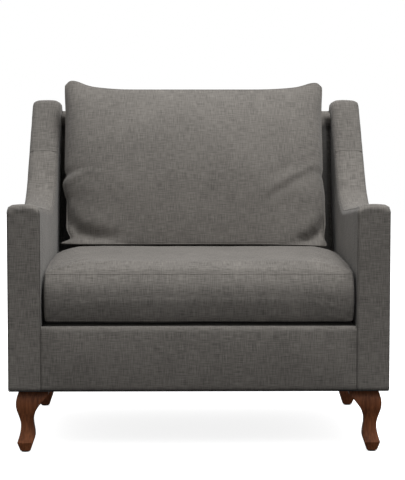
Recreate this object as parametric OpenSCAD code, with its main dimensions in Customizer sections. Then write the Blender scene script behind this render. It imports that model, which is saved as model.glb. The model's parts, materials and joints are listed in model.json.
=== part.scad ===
// Upholstered armchair: a wide lounge chair with square arms that sweep up into wings,
// a loose box seat cushion, a loose knife-edge back pillow and four cabriole legs.
// Millimetres, +Z up, +Y to the back. Left and right are as seen facing the chair.
// The origin is on the floor, below the middle of the overall width and depth.

/* [Overall] */
// Overall width, across the outer faces of the arms
overall_w = 1016; // [940:2:1200]
// Overall depth, from the arm fronts to the rear of the wing tops
overall_d = 958; // [930:1:1000]
// Depth of the base at its underside
base_d = 805; // [780:1:830]
// Height of the underside of the base
leg_h = 168; // [150:1:190]

/* [Arms and wings] */
// Thickness of an arm
arm_w = 88; // [80:1:110]
// Height of an arm at its front
arm_front_h = 664; // [640:1:690]
// Slope of the arm top, falling away from its front, in degrees
arm_fall = 5; // [2:0.5:8]
// Distance of the lowest point of the arm top behind its front
scoop_y = 458; // [430:1:470]
// Radius of the sweep from the arm top up into the wing
scoop_r = 300; // [260:5:320]
// Slope of the wing's front edge, in degrees
wing_slope = 44.5; // [43:0.5:47]
// Height of the wing tops
wing_h = 932; // [915:1:950]
// Radius between the wing's front edge and its top
wing_r = 45; // [30:1:60]

/* [Back] */
// Height of the padded back between the wings
back_h = 905; // [890:1:910]
// Distance of the padded back's foot behind the arm fronts, at the seat deck
back_y = 652; // [640:1:660]
// Recline of the padded back from upright, in degrees
back_rake = 21.4; // [18:0.2:22]

/* [Seat] */
// Height of the seat deck, which the cushion lies on
deck_h = 350; // [345:1:360]
// Width of the seat cushion
cushion_w = 820; // [780:2:828]
// Depth of the seat cushion
cushion_d = 645; // [600:1:646]
// Thickness of the seat cushion, averaged over its crown
cushion_t = 148; // [120:1:160]
// How far the seat cushion lies off the middle
cushion_shift = 1; // [-5:0.5:5]

/* [Back pillow] */
// Width of the back pillow
pillow_w = 786; // [700:2:800]
// Height of the back pillow, measured along its slope
pillow_len = 513; // [460:1:520]
// Thickness of the back pillow at its middle
pillow_t = 160; // [120:1:165]
// How far the back pillow lies off the middle
pillow_shift = -8; // [-12:1:12]

/* [Legs] */
// Diameter of a leg's hanger bolt
bolt_d = 8; // [6:1:10]
// Diameter of a floor glide
glide_d = 22; // [18:1:24]
// Thickness of a floor glide
glide_t = 4; // [3:0.5:6]

/* [Frame and springs] */
// Thickness of the arm frame, side to side
frame_t = 45; // [38:1:48]
// Thickness of the seat and back rails
rail_t = 28; // [22:1:30]
// Number of sinuous springs
spring_count = 5; // [4:1:6]
// Number of bends along one spring
spring_bends = 17; // [15:2:21]
// Thickness of the spring wire
wire_d = 3.8; // [3:0.2:4.2]

/* [Hidden] */
$fn = 48;

// Thin layers
cover_t = 2;
arm_board_t = 4;
inner_board_t = 3;
back_board_t = 3;
front_pad_t = 12;
top_pad_t = 14;
cushion_cover_t = 1.5;
webbing_t = 2;

// Clearances: between bodies, between layers on a sloping face, and beside the deck
rest_gap = 0.3;
layer_gap = 0.05;
deck_side_gap = 0.5;

// Arm layers, measured inwards from an arm's outer face
board_in = cover_t + arm_board_t;
frame_in = board_in + frame_t;
liner_in = frame_in + inner_board_t;
pad_in = arm_w - cover_t;

// Layers behind the front face and in front of the rear face
front_post_y = cover_t + front_pad_t;
rear_in = cover_t + back_board_t;
post_d = 50;
rear_post_d = 60;
back_rail_in = rear_in + rail_t + 2;
webbing_in = back_rail_in + webbing_t;
seat_rail_in = front_post_y + rail_t;

// Heights
frame_z = leg_h + cover_t;
rail_top = 318;
side_rail_top = 300;
liner_z = 320;
deck_cloth_t = 2;
deck_pad_z = 326;
deck_rear_y = base_d - front_post_y;
arm_rail_t = 45;
back_rail_h = 70;
tuck_rail_z = 335;
top_rail_z = back_h - top_pad_t - cover_t - back_rail_h;
stretcher_lift = 10;
stretcher_h = 60;
brace_w = 40;

// Jute strips over the back rails, with how far they reach up each rail
webbing_count = 6;
webbing_w = 50;
webbing_pitch = 130;
webbing_on_tuck_rail = 20;
webbing_on_top_rail = 50;

// Rear face: it leans back from the base to the wing tops
rear_rake = atan((overall_d - base_d) / (wing_h - leg_h));
function rear_y(z) = base_d + (z - leg_h) * tan(rear_rake);

// Front face of the padded back
function inner_y(z) = back_y + (z - deck_h) * tan(back_rake);

// Arm outline: every stretch is tangent to the next, so an inset only changes the radii
scoop_end_y = scoop_y - scoop_r * sin(arm_fall);
scoop_z = arm_front_h - scoop_end_y * tan(arm_fall) + scoop_r * cos(arm_fall);
function scoop_point(a, inset) =
    [scoop_y + (scoop_r + inset) * sin(a), scoop_z - (scoop_r + inset) * cos(a)];
function wing_radius(inset) = max(wing_r - inset, 3);
function wing_centre(inset) =
    let (
        r = wing_radius(inset),
        z = wing_h - inset - r,
        foot = scoop_point(wing_slope, inset),
        rise = z + r * cos(wing_slope) - foot[1]
    )
    [foot[0] + rise / tan(wing_slope) + r * sin(wing_slope), z];
function wing_point(a, inset) =
    wing_centre(inset) + wing_radius(inset) * [-sin(a), cos(a)];
function arm_top_z(y, inset) =
    let (foot = scoop_point(-arm_fall, inset))
    foot[1] + (foot[0] - y) * tan(arm_fall);

// Points along each rounded stretch of the arm outline
wing_steps = 6;
scoop_steps = 10;

// Side outline of an arm and its wing, inset from its top, front, rear and bottom edges
function arm_outline(top, front, rear, bottom) = concat(
    [[front, leg_h + bottom]],
    [[rear_y(leg_h + bottom) - rear, leg_h + bottom]],
    [[rear_y(wing_h - top) - rear, wing_h - top]],
    [for (i = [0:wing_steps]) wing_point(wing_slope * i / wing_steps, top)],
    [for (i = [0:scoop_steps]) scoop_point(wing_slope - (wing_slope + arm_fall) * i / scoop_steps, top)],
    [[front, arm_top_z(front, top)]]
);

// A strip that follows the rear face, between two distances in front of it and two heights
function rear_strip(near, far, z0, z1) = [
    [rear_y(z0) - far, z0], [rear_y(z0) - near, z0],
    [rear_y(z1) - near, z1], [rear_y(z1) - far, z1]
];

// Seat cushion and pillow places
cushion_y = 3;
cushion_z = deck_h + rest_gap;
cushion_top = cushion_z + cushion_t;
cushion_corner_r = 22;
zip_w = 600;
zip_tape_w = 24;
zip_tape_t = 0.8;
zip_coil_w = 6;
zip_coil_t = 1.6;
zip_z = cushion_z + cushion_t / 2;
pillow_zip_w = 560;
pillow_zip_drop = 6;
slider_w = 12;
slider_t = 2;
slider_h = 8;
slider_gap = 0.2;
pull_w = 6;
pull_t = 1.2;
pull_len = 28;
pull_hole_d = 3;
pull_hole_in = 5;
pillow_z = cushion_top + 9.5;
pillow_y = inner_y(pillow_z) - (pillow_t / 2 + rest_gap) / cos(back_rake);

// The pillow's edges are blunt: its lens is this much wider and longer than the pillow itself
lens_spare_w = 90;
lens_spare_len = 40;
lens_facets = 200;

// Legs, in a corner frame with +X and +Y pointing in from the chair's outer faces
bolt_in = 66;
block_size = 110;
block_h = 40;
bolt_low = 132;
bolt_high = 216;
tee_nut_d = 10;
tee_nut_len = 14;
tee_flange_d = 22;
tee_flange_t = 1.5;
nail_d = 2.4;
nail_len = 12;
screw_d = 4.5;
screw_head_d = 9;
screw_head_t = 3;
screw_at = 72;
screw_z = 22;
screw_bite = 20;
screw_reach = 34;
foot_in = 42;
leg_blank = 120;

// Half a wave from a to b, upright at both ends, and a quarter wave, upright only at a
function half_wave(a, b, n) =
    [for (i = [0:n]) [a[0] + (b[0] - a[0]) * (1 - cos(180 * i / n)) / 2, a[1] + (b[1] - a[1]) * i / n]];
function quarter_wave(a, b, n) =
    [for (i = [0:n]) [a[0] + (b[0] - a[0]) * (1 - cos(90 * i / n)), a[1] + (b[1] - a[1]) * i / n]];
function reversed(list) = [for (i = [len(list) - 1:-1:0]) list[i]];

// Leg outline, as (distance in, height): knee, ankle, toe and bevelled foot, outside then inside
knee = [18.3, 131];
ankle = [30.5, 72];
toe = [20.8, 26];
sole_out = [28.5, glide_t];
sole_in = [56, glide_t];
heel = [63, 23];
calf = [68.4, 47];
shin = [64.5, 86];
bracket = [105, 155];
top_out = [27, leg_h];
top_in = [105, leg_h];
leg_outline = concat(
    reversed(quarter_wave(knee, top_out, 5)),
    half_wave(knee, ankle, 8),
    quarter_wave(ankle, toe, 6),
    [sole_out, sole_in],
    reversed(quarter_wave(calf, heel, 4)),
    half_wave(calf, shin, 6),
    quarter_wave(shin, bracket, 9),
    [top_in]
);

// Springs
spring_y0 = front_post_y + rail_t / 2;
spring_span = base_d - 2 * spring_y0;
spring_r = spring_span / spring_bends / 2;
spring_bar = 30;
spring_pitch = (overall_w - 2 * arm_w) / spring_count;
clip_t = 1.2;
clip_w = 26;
clip_d = 14;
spring_z = rail_top + clip_t + wire_d / 2;
tie_d = 2.4;
tie_gap = 0.1;

// Colours
fabric = "#78746c";
pine = "#c8a46c";
mahogany = "#4b2a1e";
foam = "#e9e0b8";
board = "#97794f";
steel = "#9aa0a6";
cambric = "#26272a";
jute = "#b59c6c";

// ---- Shared shapes ----

// Extrudes a side outline, drawn as (distance behind the front face, height), from x0 to x1
module side_plate(x0, x1) {
    translate([x0, -overall_d / 2, 0])
        rotate([90, 0, 90])
            linear_extrude(x1 - x0) children();
}

// The same for the left arm, between two distances in from its outer face
module arm_plate(from, to) {
    side_plate(-overall_w / 2 + from, -overall_w / 2 + to) children();
}

// The same for everything between the two arm frames, which is symmetrical
module centre_plate(half_w) {
    side_plate(-half_w, half_w) children();
}

// Takes a piece drawn at a corner, with +X and +Y pointing inwards, to a corner of the base
module at_corner(right, rear) {
    mirror([right, 0, 0])
        translate([-overall_w / 2, rear * base_d - overall_d / 2, 0])
            mirror([0, rear, 0]) children();
}

module at_every_corner() {
    for (right = [0, 1], rear = [0, 1]) at_corner(right, rear) children();
}

// Two screws through a corner block, one into each rail
module at_screws() {
    translate([frame_in + screw_at, seat_rail_in, frame_z + screw_z])
        rotate([-90, 0, 0]) children();
    translate([frame_in, seat_rail_in + screw_at, frame_z + screw_z])
        rotate([0, 90, 0]) children();
}

module screw_shank() {
    translate([0, 0, -screw_bite]) cylinder(h = screw_bite + screw_reach, d = screw_d);
}

module every_screw_shank() {
    at_every_corner() at_screws() screw_shank();
}

// Outline of the arm lining, which stops above the seat rails and is cut round the back rails
module lining_outline(top, front) {
    difference() {
        polygon(arm_outline(top, front, rear_in, liner_z - leg_h));
        polygon(rear_strip(0, back_rail_in, tuck_rail_z, tuck_rail_z + back_rail_h));
        polygon(rear_strip(0, back_rail_in, top_rail_z, top_rail_z + back_rail_h));
    }
}

// ---- Wooden frame ----

module front_rail() {
    color(pine)
        difference() {
            centre_plate(overall_w / 2 - frame_in)
                translate([front_post_y, frame_z]) square([rail_t, rail_top - frame_z]);
            every_screw_shank();
        }
}

module rear_rail() {
    color(pine)
        difference() {
            centre_plate(overall_w / 2 - frame_in)
                translate([base_d - seat_rail_in, frame_z]) square([rail_t, rail_top - frame_z]);
            every_screw_shank();
        }
}

// A rail between the front and rear posts of the arm frame
module arm_frame_rail(z0, z1) {
    back = rear_in + rear_post_d;
    arm_plate(board_in, frame_in)
        polygon([
            [front_post_y + post_d, z0], [rear_y(z0) - back, z0],
            [rear_y(z1) - back, z1], [front_post_y + post_d, z1]
        ]);
}

module side_rail() {
    color(pine)
        difference() {
            arm_frame_rail(frame_z, side_rail_top);
            every_screw_shank();
        }
}

module tuck_rail() {
    color(pine) arm_frame_rail(liner_z, deck_h);
}

module front_post() {
    color(pine)
        arm_plate(board_in, frame_in)
            intersection() {
                translate([front_post_y, frame_z]) square([post_d, arm_front_h]);
                polygon(arm_outline(cover_t + top_pad_t + arm_rail_t, 0, 0, 0));
            }
}

module rear_post() {
    color(pine)
        arm_plate(board_in, frame_in)
            intersection() {
                polygon(rear_strip(rear_in, rear_in + rear_post_d, frame_z, wing_h));
                polygon(arm_outline(cover_t + top_pad_t + arm_rail_t, 0, 0, 0));
            }
}

// Shaped rail that follows the arm top and the wing's front edge
module arm_rail() {
    top = cover_t + top_pad_t;
    color(pine)
        arm_plate(board_in, frame_in)
            difference() {
                polygon(arm_outline(top, front_post_y, rear_in, 0));
                polygon(arm_outline(top + arm_rail_t, 0, 0, -1));
            }
}

module corner_blocks() {
    color(pine)
        at_every_corner()
            difference() {
                translate([frame_in, seat_rail_in, frame_z])
                    linear_extrude(block_h)
                        polygon([[0, 0], [block_size, 0], [0, block_size]]);
                translate([bolt_in, bolt_in, frame_z - 1]) cylinder(h = block_h + 2, d = tee_nut_d);
                at_screws() screw_shank();
                at_screws()
                    translate([0, 0, screw_reach - screw_head_t])
                        cylinder(h = block_size, d = screw_head_d);
            }
}

module seat_stretcher() {
    color(pine)
        centre_plate(brace_w / 2)
            translate([seat_rail_in, frame_z + stretcher_lift])
                square([base_d - 2 * seat_rail_in, stretcher_h]);
}

module back_rail(z0) {
    color(pine)
        centre_plate(overall_w / 2 - frame_in)
            polygon(rear_strip(rear_in, back_rail_in, z0, z0 + back_rail_h));
}

module back_top_rail() {
    back_rail(top_rail_z);
}

module back_tuck_rail() {
    back_rail(tuck_rail_z);
}

module back_center_strut() {
    color(pine)
        centre_plate(brace_w / 2)
            polygon(rear_strip(rear_in, back_rail_in, tuck_rail_z + back_rail_h, top_rail_z));
}

// ---- Springs, webbing and deck ----

// Outline of a zigzag spring along +Y: straight bars across it, joined by half turns
module sinuous_outline() {
    for (i = [0:spring_bends])
        translate([0, 2 * spring_r * i]) square([spring_bar, wire_d], center = true);
    for (i = [0:spring_bends - 1])
        mirror([i % 2, 0])
            translate([spring_bar / 2, spring_r * (2 * i + 1)])
                difference() {
                    circle(r = spring_r + wire_d / 2);
                    circle(r = spring_r - wire_d / 2);
                    translate([-2 * spring_r, -2 * spring_r]) square([2 * spring_r, 4 * spring_r]);
                }
}

function spring_x(i) = (i - (spring_count - 1) / 2) * spring_pitch;

module seat_springs() {
    color(steel)
        for (i = [0:spring_count - 1])
            translate([spring_x(i), spring_y0 - overall_d / 2, spring_z])
                linear_extrude(wire_d, center = true) sinuous_outline();
}

// A folded plate that holds the end bar of a spring on its rail
module spring_clips() {
    depth = clip_d / 2;
    color(steel)
        for (i = [0:spring_count - 1], y = [spring_y0, base_d - spring_y0])
            side_plate(spring_x(i) - clip_w / 2, spring_x(i) + clip_w / 2)
                translate([y, spring_z])
                    difference() {
                        translate([-depth, -wire_d / 2 - clip_t]) square([clip_d, wire_d + 2 * clip_t]);
                        translate([-depth + clip_t, -wire_d / 2]) square([clip_d, wire_d]);
                    }
}

module spring_tie_wires() {
    reach = spring_pitch * (spring_count - 1) / 2 + spring_bar;
    color(steel)
        for (y = [base_d / 3, base_d * 2 / 3])
            translate([0, y - overall_d / 2, spring_z + (wire_d + tie_d) / 2 + tie_gap])
                rotate([0, 90, 0]) cylinder(h = 2 * reach, d = tie_d, center = true);
}

module back_webbing() {
    z0 = tuck_rail_z + webbing_on_tuck_rail;
    z1 = top_rail_z + webbing_on_top_rail;
    color(jute)
        for (i = [0:webbing_count - 1]) {
            x = (i - (webbing_count - 1) / 2) * webbing_pitch;
            side_plate(x - webbing_w / 2, x + webbing_w / 2)
                polygon(rear_strip(back_rail_in + layer_gap, webbing_in - layer_gap, z0, z1));
        }
}

module deck_layer(z0, z1, front) {
    centre_plate(overall_w / 2 - arm_w - deck_side_gap)
        translate([front, z0]) square([deck_rear_y - front, z1 - z0]);
}

module deck_pad() {
    color(foam) deck_layer(deck_pad_z, deck_h - deck_cloth_t, front_post_y);
}

module deck_cloth() {
    color(fabric) deck_layer(deck_h - deck_cloth_t, deck_h, cover_t);
}

// ---- Boards and padding ----

module arm_inner_board() {
    color(board)
        arm_plate(frame_in, liner_in) lining_outline(cover_t + top_pad_t, front_post_y);
}

module arm_outer_board() {
    color(board)
        arm_plate(cover_t, board_in) polygon(arm_outline(cover_t, cover_t, rear_in, cover_t));
}

module outer_back_board() {
    near = cover_t + layer_gap;
    far = rear_in - layer_gap;
    color(board) {
        centre_plate(overall_w / 2 - arm_w)
            polygon(rear_strip(near, far, frame_z, back_h - cover_t));
        for (side = [0, 1])
            mirror([side, 0, 0])
                arm_plate(cover_t, arm_w)
                    polygon(rear_strip(near, far, frame_z, wing_h - cover_t));
    }
}

// Foam over the arm's top and front, and a thick slab on its inner side above the seat rails
module arm_padding() {
    color(foam)
        difference() {
            arm_plate(board_in, pad_in) polygon(arm_outline(cover_t, cover_t, rear_in, cover_t));
            arm_plate(0, liner_in) polygon(arm_outline(cover_t + top_pad_t, front_post_y, 0, 0));
            arm_plate(0, arm_w) {
                translate([front_post_y, 0]) square([overall_d, liner_z]);
                polygon(rear_strip(0, back_rail_in, tuck_rail_z, tuck_rail_z + back_rail_h));
                polygon(rear_strip(0, back_rail_in, top_rail_z, top_rail_z + back_rail_h));
            }
        }
}

module back_padding() {
    top = back_h - cover_t;
    rail_z = top_rail_z + back_rail_h;
    color(foam)
        centre_plate(overall_w / 2 - arm_w)
            polygon([
                [inner_y(deck_h) + cover_t, deck_h], [inner_y(top) + cover_t, top],
                [rear_y(top) - rear_in, top], [rear_y(rail_z) - rear_in, rail_z],
                [rear_y(rail_z) - webbing_in, rail_z], [rear_y(deck_h) - webbing_in, deck_h]
            ]);
}

module front_rail_padding() {
    color(foam)
        centre_plate(overall_w / 2 - arm_w)
            translate([cover_t, frame_z]) square([front_pad_t, deck_h - deck_cloth_t - frame_z]);
}

// ---- Fixed covers ----

module arm_outside_cover() {
    color(fabric) arm_plate(0, cover_t) polygon(arm_outline(0, 0, cover_t, 0));
}

module arm_inside_cover() {
    color(fabric) arm_plate(pad_in, arm_w) lining_outline(cover_t, cover_t);
}

module arm_front_panel() {
    color(fabric)
        arm_plate(cover_t, arm_w)
            intersection() {
                polygon(arm_outline(0, 0, 0, 0));
                square([cover_t, arm_front_h]);
            }
}

module arm_top_strip() {
    color(fabric)
        arm_plate(cover_t, arm_w)
            difference() {
                polygon(arm_outline(0, cover_t, cover_t, 0));
                polygon(arm_outline(cover_t, 0, 0, -1));
            }
}

module front_border() {
    color(fabric)
        centre_plate(overall_w / 2 - arm_w)
            translate([0, leg_h]) square([cover_t, deck_h - leg_h]);
}

module inside_back_cover() {
    color(fabric)
        centre_plate(overall_w / 2 - arm_w)
            polygon([
                [inner_y(deck_h), deck_h], [inner_y(back_h), back_h],
                [rear_y(back_h) - cover_t, back_h],
                [rear_y(back_h - cover_t) - cover_t, back_h - cover_t],
                [inner_y(back_h - cover_t) + cover_t, back_h - cover_t],
                [inner_y(deck_h) + cover_t, deck_h]
            ]);
}

module outside_back_cover() {
    color(fabric) {
        centre_plate(overall_w / 2 - arm_w)
            polygon(rear_strip(0, cover_t, leg_h, back_h));
        for (side = [0, 1])
            mirror([side, 0, 0])
                arm_plate(0, arm_w) polygon(rear_strip(0, cover_t, leg_h, wing_h));
    }
}

module dust_cover() {
    color(cambric)
        difference() {
            centre_plate(overall_w / 2 - cover_t)
                translate([cover_t, leg_h]) square([base_d - 2 * cover_t - back_board_t, cover_t]);
            at_every_corner()
                translate([bolt_in, bolt_in, leg_h - 1]) cylinder(h = cover_t + 2, d = tee_nut_d);
        }
}

// ---- Seat cushion ----

// A cushion block with rounded upright corners, shrunk on every side by inset
module cushion_block(inset) {
    w = cushion_w - 2 * inset;
    d = cushion_d - 2 * inset;
    r = cushion_corner_r - inset;
    translate([cushion_shift, cushion_y + cushion_d / 2 - overall_d / 2, cushion_z + inset])
        linear_extrude(cushion_t - 2 * inset) {
            square([w - 2 * r, d], center = true);
            square([w, d - 2 * r], center = true);
            for (x = [-1, 1], y = [-1, 1])
                translate([x * (w / 2 - r), y * (d / 2 - r)]) circle(r);
        }
}

module seat_cushion_core() {
    color(foam) cushion_block(cushion_cover_t);
}

module seat_cushion_cover() {
    color(fabric)
        difference() {
            cushion_block(0);
            cushion_block(cushion_cover_t);
        }
}

// Tape and coil across the cushion's rear border
module seat_zip_chain() {
    y = cushion_y + cushion_d - overall_d / 2;
    color(cambric)
        translate([cushion_shift, y, zip_z]) {
            translate([-zip_w / 2, 0, -zip_tape_w / 2]) cube([zip_w, zip_tape_t, zip_tape_w]);
            translate([-zip_w / 2, 0, -zip_coil_w / 2]) cube([zip_w, zip_tape_t + zip_coil_t, zip_coil_w]);
        }
}

// A pull tab, hanging down from the origin, with a hole near its lower end
module zip_pull() {
    translate([-pull_w / 2, 0, -pull_len])
        difference() {
            cube([pull_w, pull_t, pull_len]);
            translate([pull_w / 2, 2 * pull_t, pull_hole_in])
                rotate([90, 0, 0]) cylinder(h = 3 * pull_t, d = pull_hole_d);
        }
}

// A slider body over the coil, with its pull hanging below
module seat_zip_slider() {
    y = cushion_y + cushion_d - overall_d / 2 + zip_tape_t + zip_coil_t + slider_gap;
    color(steel)
        translate([cushion_shift - zip_w / 2 + slider_w, y, zip_z]) {
            translate([-slider_w / 2, 0, -slider_h / 2]) cube([slider_w, slider_t, slider_h]);
            translate([0, slider_t, slider_h / 4]) zip_pull();
        }
}

// ---- Back pillow ----

// Puts a piece drawn at the middle of the pillow's lower edge, with +Z up its slope, in place
module on_pillow() {
    translate([pillow_shift, pillow_y - overall_d / 2, pillow_z])
        rotate([-back_rake, 0, 0]) children();
}

// A lens outline of the given length and thickness, standing on the origin
module lens(length, thickness) {
    r = (pow(length / 2, 2) + pow(thickness / 2, 2)) / thickness;
    intersection_for (side = [-1, 1])
        translate([side * (r - thickness / 2), length / 2]) circle(r, $fn = lens_facets);
}

// A pillow that thins to an edge all round, shrunk on every side by inset
module pillow_block(inset) {
    w = pillow_w - 2 * inset;
    len = pillow_len - 2 * inset;
    t = pillow_t - 2 * inset;
    edge_w = w + lens_spare_w;
    edge_len = len + lens_spare_len;
    translate([0, 0, inset])
        intersection() {
            rotate([90, 0, 90])
                translate([0, -(edge_len - len) / 2])
                    linear_extrude(2 * w, center = true) lens(edge_len, t);
            translate([0, 0, -len])
                linear_extrude(3 * len)
                    rotate([0, 0, 90]) translate([0, -edge_w / 2]) lens(edge_w, t);
            translate([-w / 2, -t, 0]) cube([w, 2 * t, len]);
        }
}

module back_pillow_insert() {
    color(foam) on_pillow() pillow_block(cushion_cover_t);
}

module back_pillow_cover() {
    color(fabric)
        on_pillow()
            difference() {
                pillow_block(0);
                pillow_block(cushion_cover_t);
            }
}

module pillow_zip_chain() {
    color(cambric)
        on_pillow()
            translate([-pillow_zip_w / 2, -zip_coil_t / 2, -pillow_zip_drop])
                cube([pillow_zip_w, zip_coil_t, pillow_zip_drop]);
}

// A slider behind the zip, with its pull laid along it towards the open end
module pillow_zip_slider() {
    color(steel)
        on_pillow()
            translate([-pillow_zip_w / 2 + slider_w, zip_coil_t / 2 + slider_gap, -pillow_zip_drop / 2]) {
                translate([-slider_w / 2, 0, -pull_w / 2]) cube([slider_w, slider_t, pull_w]);
                translate([0, slider_t, 0]) rotate([0, 90, 0]) zip_pull();
            }
}

// ---- Legs and fasteners ----

module leg() {
    color(mahogany)
        difference() {
            intersection() {
                translate([0, leg_blank, 0])
                    rotate([90, 0, 0]) linear_extrude(leg_blank) polygon(leg_outline);
                rotate([90, 0, 90]) linear_extrude(leg_blank) polygon(leg_outline);
            }
            translate([bolt_in, bolt_in, bolt_low]) cylinder(h = leg_h, d = bolt_d);
            translate([foot_in, foot_in, 0]) cylinder(h = glide_t + nail_len, d = nail_d);
        }
}

module leg_bolts() {
    color(steel)
        at_every_corner()
            translate([bolt_in, bolt_in, bolt_low]) cylinder(h = bolt_high - bolt_low, d = bolt_d);
}

module tee_nuts() {
    top = frame_z + block_h;
    color(steel)
        at_every_corner()
            difference() {
                translate([bolt_in, bolt_in, 0]) {
                    translate([0, 0, top - tee_nut_len]) cylinder(h = tee_nut_len, d = tee_nut_d);
                    translate([0, 0, top]) cylinder(h = tee_flange_t, d = tee_flange_d);
                }
                translate([bolt_in, bolt_in, 0]) cylinder(h = leg_h * 2, d = bolt_d);
            }
}

module glides() {
    color(cambric)
        at_every_corner()
            translate([foot_in, foot_in, 0]) {
                cylinder(h = glide_t, d = glide_d);
                cylinder(h = glide_t + nail_len, d = nail_d);
            }
}

module frame_screws() {
    color(steel)
        at_every_corner()
            at_screws() {
                translate([0, 0, -screw_bite])
                    cylinder(h = screw_bite + screw_reach - screw_head_t, d = screw_d);
                translate([0, 0, screw_reach - screw_head_t])
                    cylinder(h = screw_head_t, d = screw_head_d);
            }
}

front_rail();
rear_rail();
side_rail();  // left_side_rail
mirror([1, 0, 0]) side_rail();  // right_side_rail
corner_blocks();
seat_stretcher();
front_post();  // left_front_post
mirror([1, 0, 0]) front_post();  // right_front_post
rear_post();  // left_rear_post
mirror([1, 0, 0]) rear_post();  // right_rear_post
arm_rail();  // left_arm_rail
mirror([1, 0, 0]) arm_rail();  // right_arm_rail
tuck_rail();  // left_tuck_rail
mirror([1, 0, 0]) tuck_rail();  // right_tuck_rail
back_top_rail();
back_tuck_rail();
back_center_strut();
seat_springs();
spring_clips();
spring_tie_wires();
back_webbing();
deck_pad();
deck_cloth();
arm_inner_board();  // left_arm_inner_board
mirror([1, 0, 0]) arm_inner_board();  // right_arm_inner_board
arm_outer_board();  // left_arm_outer_board
mirror([1, 0, 0]) arm_outer_board();  // right_arm_outer_board
outer_back_board();
arm_padding();  // left_arm_padding
mirror([1, 0, 0]) arm_padding();  // right_arm_padding
back_padding();
front_rail_padding();
arm_inside_cover();  // left_arm_inside_cover
mirror([1, 0, 0]) arm_inside_cover();  // right_arm_inside_cover
arm_outside_cover();  // left_arm_outside_cover
mirror([1, 0, 0]) arm_outside_cover();  // right_arm_outside_cover
arm_front_panel();  // left_arm_front_panel
mirror([1, 0, 0]) arm_front_panel();  // right_arm_front_panel
arm_top_strip();  // left_arm_top_strip
mirror([1, 0, 0]) arm_top_strip();  // right_arm_top_strip
front_border();
inside_back_cover();
outside_back_cover();
dust_cover();
seat_cushion_core();
seat_cushion_cover();
seat_zip_chain();
seat_zip_slider();
back_pillow_insert();
back_pillow_cover();
pillow_zip_chain();
pillow_zip_slider();
at_corner(0, 0) leg();  // front_left_leg
at_corner(1, 0) leg();  // front_right_leg
at_corner(0, 1) leg();  // rear_left_leg
at_corner(1, 1) leg();  // rear_right_leg
leg_bolts();
tee_nuts();
glides();
frame_screws();
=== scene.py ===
import json
import math

import bpy
import numpy as np
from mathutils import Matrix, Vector, noise
from mathutils.bvhtree import BVHTree


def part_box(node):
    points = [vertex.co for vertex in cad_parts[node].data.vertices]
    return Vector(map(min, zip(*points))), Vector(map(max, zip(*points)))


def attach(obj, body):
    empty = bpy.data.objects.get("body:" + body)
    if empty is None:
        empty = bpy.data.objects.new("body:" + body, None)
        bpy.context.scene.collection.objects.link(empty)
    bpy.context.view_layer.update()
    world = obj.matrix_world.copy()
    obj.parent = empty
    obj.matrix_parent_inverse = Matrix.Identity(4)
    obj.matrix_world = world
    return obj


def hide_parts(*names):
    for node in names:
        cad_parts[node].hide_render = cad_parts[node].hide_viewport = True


# Looks of the upholstered armchair, built round its CAD frame.
# Metres, +X to the viewer's right, +Y to the back, +Z up.

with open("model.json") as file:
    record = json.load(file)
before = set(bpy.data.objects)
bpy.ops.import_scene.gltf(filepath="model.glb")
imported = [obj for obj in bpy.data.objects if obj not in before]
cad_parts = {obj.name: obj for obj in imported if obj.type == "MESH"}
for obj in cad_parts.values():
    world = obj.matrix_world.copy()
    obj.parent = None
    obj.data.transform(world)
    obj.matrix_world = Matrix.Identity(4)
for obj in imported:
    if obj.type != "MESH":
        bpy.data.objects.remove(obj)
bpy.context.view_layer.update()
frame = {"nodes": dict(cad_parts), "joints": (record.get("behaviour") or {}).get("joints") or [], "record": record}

# ---------------------------------------------------------------- places, from the frame

ARM_LO, ARM_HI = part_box("left_arm_outside_cover")
HALF_W = -ARM_LO.x
FRONT_Y = ARM_LO.y
BASE_Z = ARM_LO.z
WING_Z = ARM_HI.z
ARM_FRONT_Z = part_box("left_arm_front_panel")[1].z
ARM_INNER_X = -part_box("left_arm_inside_cover")[1].x
BACK_LO, BACK_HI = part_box("inside_back_cover")
DECK_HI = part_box("deck_cloth")[1]
SEAT_LO, SEAT_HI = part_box("seat_cushion_cover")
PILLOW_LO, PILLOW_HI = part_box("back_pillow_cover")
PILLOW_LIFT = next(j for j in frame["joints"] if j["name"] == "back_pillow_lift")["axis"]

# Side outline of an arm: the arm line falls back from the front and the wing line rises to
# the top; the two meet at the elbow, rounded by the sweep
ARM_FALL = math.radians(5.0)
WING_SLOPE = math.radians(44.5)
ELBOW_BEHIND_FRONT = 0.5696
SWEEP_RADIUS = 0.300
WING_RADIUS = 0.045

# The rear face leans back from the base to the wing tops
BASE_REAR_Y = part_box("dust_cover")[1].y + 0.005
REAR_TOP_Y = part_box("outside_back_cover")[1].y
REAR_SLOPE = (REAR_TOP_Y - BASE_REAR_Y) / (WING_Z - BASE_Z)
BACK_RAKE = math.atan2(PILLOW_LIFT[1], PILLOW_LIFT[2])

# Fabric stands this far proud of the CAD arm at the crown of its top, and curves down to its edges
CROWN_PROUD = 0.005
WING_SEAM_Z = 0.786
# Below this height the cloth of the tight back is painted dark, as painted shade for the deep gap behind the
# pillow
PAINTED_SHADE_TOP_Z = 0.862


def rear_y(z):
    return BASE_REAR_Y + (z - BASE_Z) * REAR_SLOPE


def inner_back_y(z):
    return BACK_LO.y + (z - BACK_LO.z) * math.tan(BACK_RAKE)


def smooth(t):
    t = np.clip(t, 0.0, 1.0)
    return t * t * (3.0 - 2.0 * t)


# ---------------------------------------------------------------- mesh helpers


def new_object(name, verts, faces):
    mesh = bpy.data.meshes.new(name)
    mesh.from_pydata([tuple(v) for v in verts], [], [tuple(f) for f in faces])
    mesh.update()
    obj = bpy.data.objects.new(name, mesh)
    bpy.context.collection.objects.link(obj)
    return obj


def shade_smooth(obj):
    obj.data.polygons.foreach_set("use_smooth", [True] * len(obj.data.polygons))


def points_of(obj):
    co = np.empty(len(obj.data.vertices) * 3)
    obj.data.vertices.foreach_get("co", co)
    return co.reshape(-1, 3)


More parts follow.
